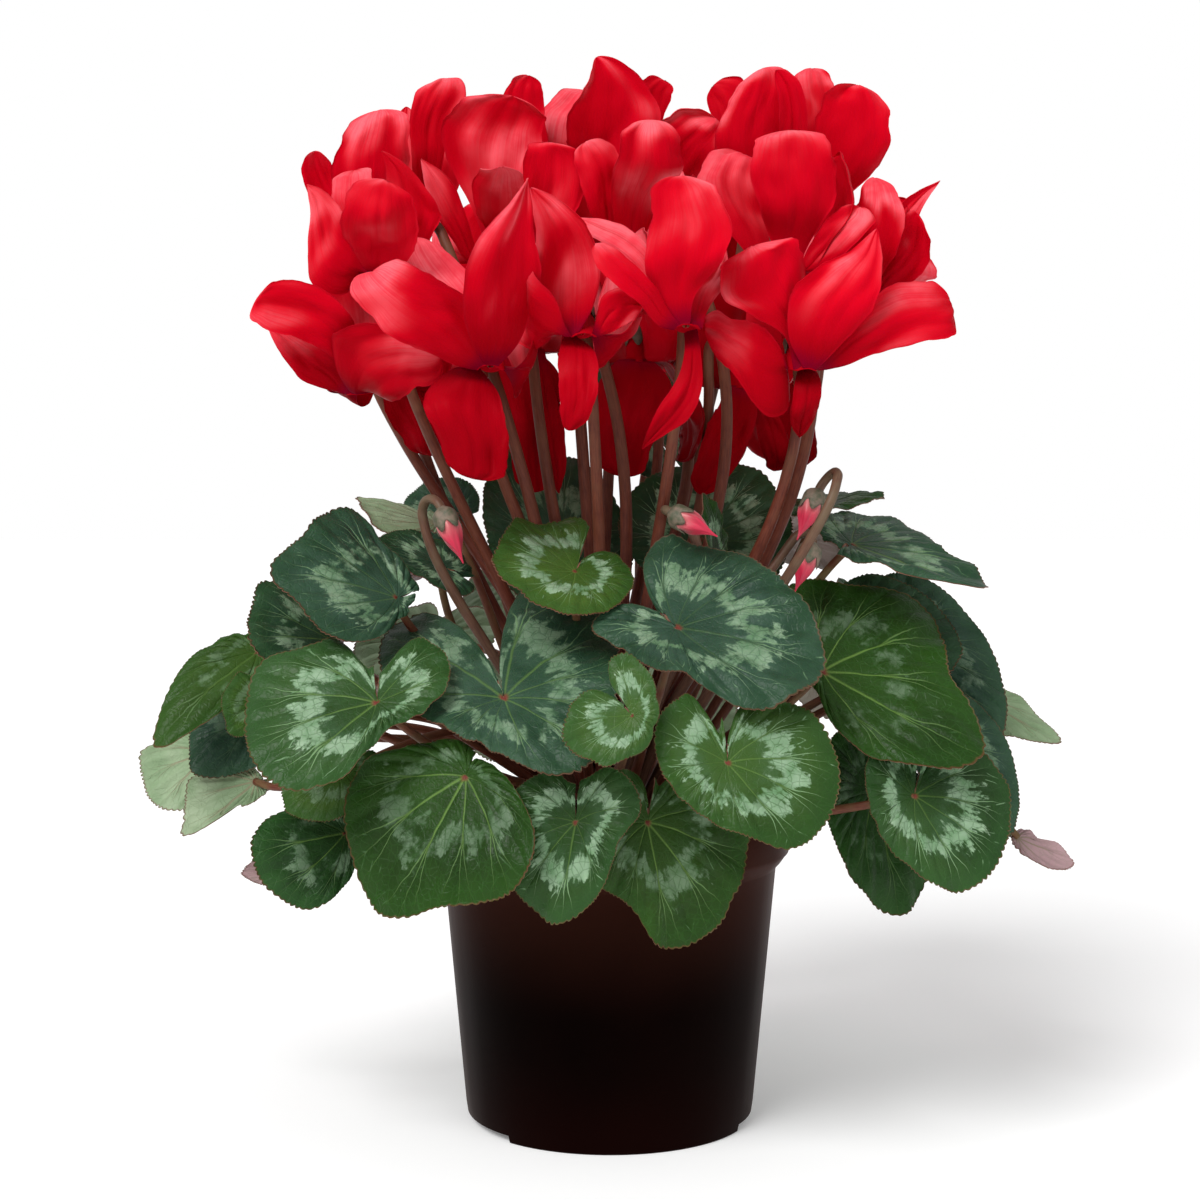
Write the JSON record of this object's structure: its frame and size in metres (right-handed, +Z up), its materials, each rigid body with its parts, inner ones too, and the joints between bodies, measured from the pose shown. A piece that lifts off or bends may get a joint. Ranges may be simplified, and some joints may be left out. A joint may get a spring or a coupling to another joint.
{
  "type": "potted cyclamen",
  "caption": "Flowering cyclamen in a round plastic nursery pot, with patterned heart-shaped leaves, nodding flowers and buds.",
  "frame": {"origin": "centre of the pot's flat resting pad, on the surface that the pot stands on", "axes": "+Z up along the pot's axis; the pictured side faces -Y; +X to the right of the picture"},
  "size_m": [0.333, 0.2547, 0.3814],
  "materials": {
    "pot_plastic": "satin dark brown moulded polypropylene",
    "soil": "crumbly dark peat compost",
    "tuber": "corky brown skin",
    "leaf": "fleshy leaf, dark green with a ring of silvery green blotches and light veins",
    "petal": "satin red petal, purple at the throat",
    "flower_stem": "smooth brownish-red stalk with a grey-green bloom",
    "bud": "green calyx over a furled pink-red bud"
  },
  "bodies": {
    "root": {"pot": "pot_plastic", "soil": "soil", "tuber": "tuber", "leaf_01": "leaf", "leaf_02": "leaf", "leaf_03": "leaf", "leaf_04": "leaf", "leaf_05": "leaf", "leaf_06": "leaf", "leaf_07": "leaf", "leaf_08": "leaf", "leaf_09": "leaf", "leaf_10": "leaf", "leaf_11": "leaf", "leaf_12": "leaf", "leaf_13": "leaf", "leaf_14": "leaf", "leaf_15": "leaf", "leaf_group_a": "leaf", "leaf_group_b": "leaf", "leaf_group_c": "leaf", "leaf_group_d": "leaf", "leaf_group_e": "leaf", "leaf_group_f": "leaf", "leaf_group_g": "leaf", "leaf_group_h": "leaf", "leaf_group_i": "leaf", "leaf_group_j": "leaf", "corolla_01": "petal", "corolla_02": "petal", "corolla_03": "petal", "corolla_04": "petal", "corolla_05": "petal", "corolla_06": "petal", "corolla_07": "petal", "corolla_08": "petal", "corolla_09": "petal", "corolla_10": "petal", "corolla_11": "petal", "corolla_12": "petal", "corolla_13": "petal", "corolla_14": "petal", "corolla_15": "petal", "corolla_16": "petal", "corolla_17": "petal", "corolla_18": "petal", "corolla_19": "petal", "corolla_20": "petal", "corolla_21": "petal", "flower_stems_a": "flower_stem", "flower_stems_b": "flower_stem", "flower_stems_c": "flower_stem", "flower_stems_d": "flower_stem", "flower_stems_e": "flower_stem", "flower_stems_f": "flower_stem", "flower_stems_g": "flower_stem", "bud_01": "bud", "bud_02": "bud", "bud_03": "bud", "bud_04": "bud"}
  },
  "joints": []
}
